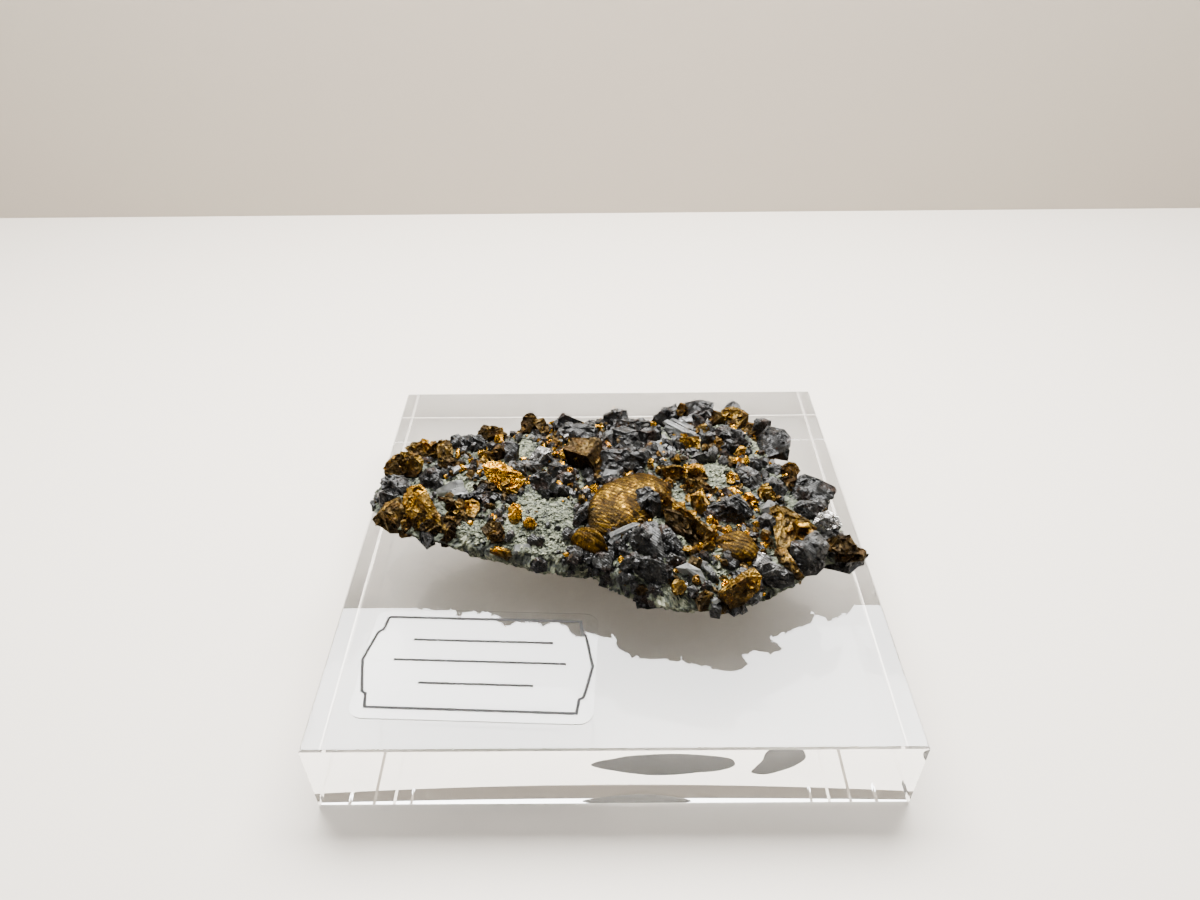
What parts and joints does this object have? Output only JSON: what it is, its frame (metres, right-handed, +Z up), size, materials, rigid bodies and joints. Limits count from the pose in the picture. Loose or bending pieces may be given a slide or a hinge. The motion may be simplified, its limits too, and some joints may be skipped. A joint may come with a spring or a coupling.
{
  "type": "chalcopyrite specimen",
  "caption": "Chalcopyrite and dark sphalerite crystals on a flat piece of pale stone, fixed with putty to a square clear acrylic slab with a film label.",
  "frame": {"origin": "centre of the acrylic slab's underside", "axes": "+Z up out of the slab's top face, -Y towards the slab's front edge where the label is, +X to the right"},
  "size_m": [0.0762, 0.0762, 0.0244],
  "materials": {
    "acrylic": "clear and polished, see-through",
    "label_film": "clear film with thin printed lines",
    "putty": "dull, kneaded",
    "mineral": "brassy to near-black metallic crystals on a pale granular stone"
  },
  "bodies": {
    "root": {"acrylic_slab": "acrylic", "label": "label_film", "adhesive_pad_left": "putty", "adhesive_pad_right": "putty", "adhesive_pad_back": "putty", "specimen": "mineral"}
  },
  "joints": []
}
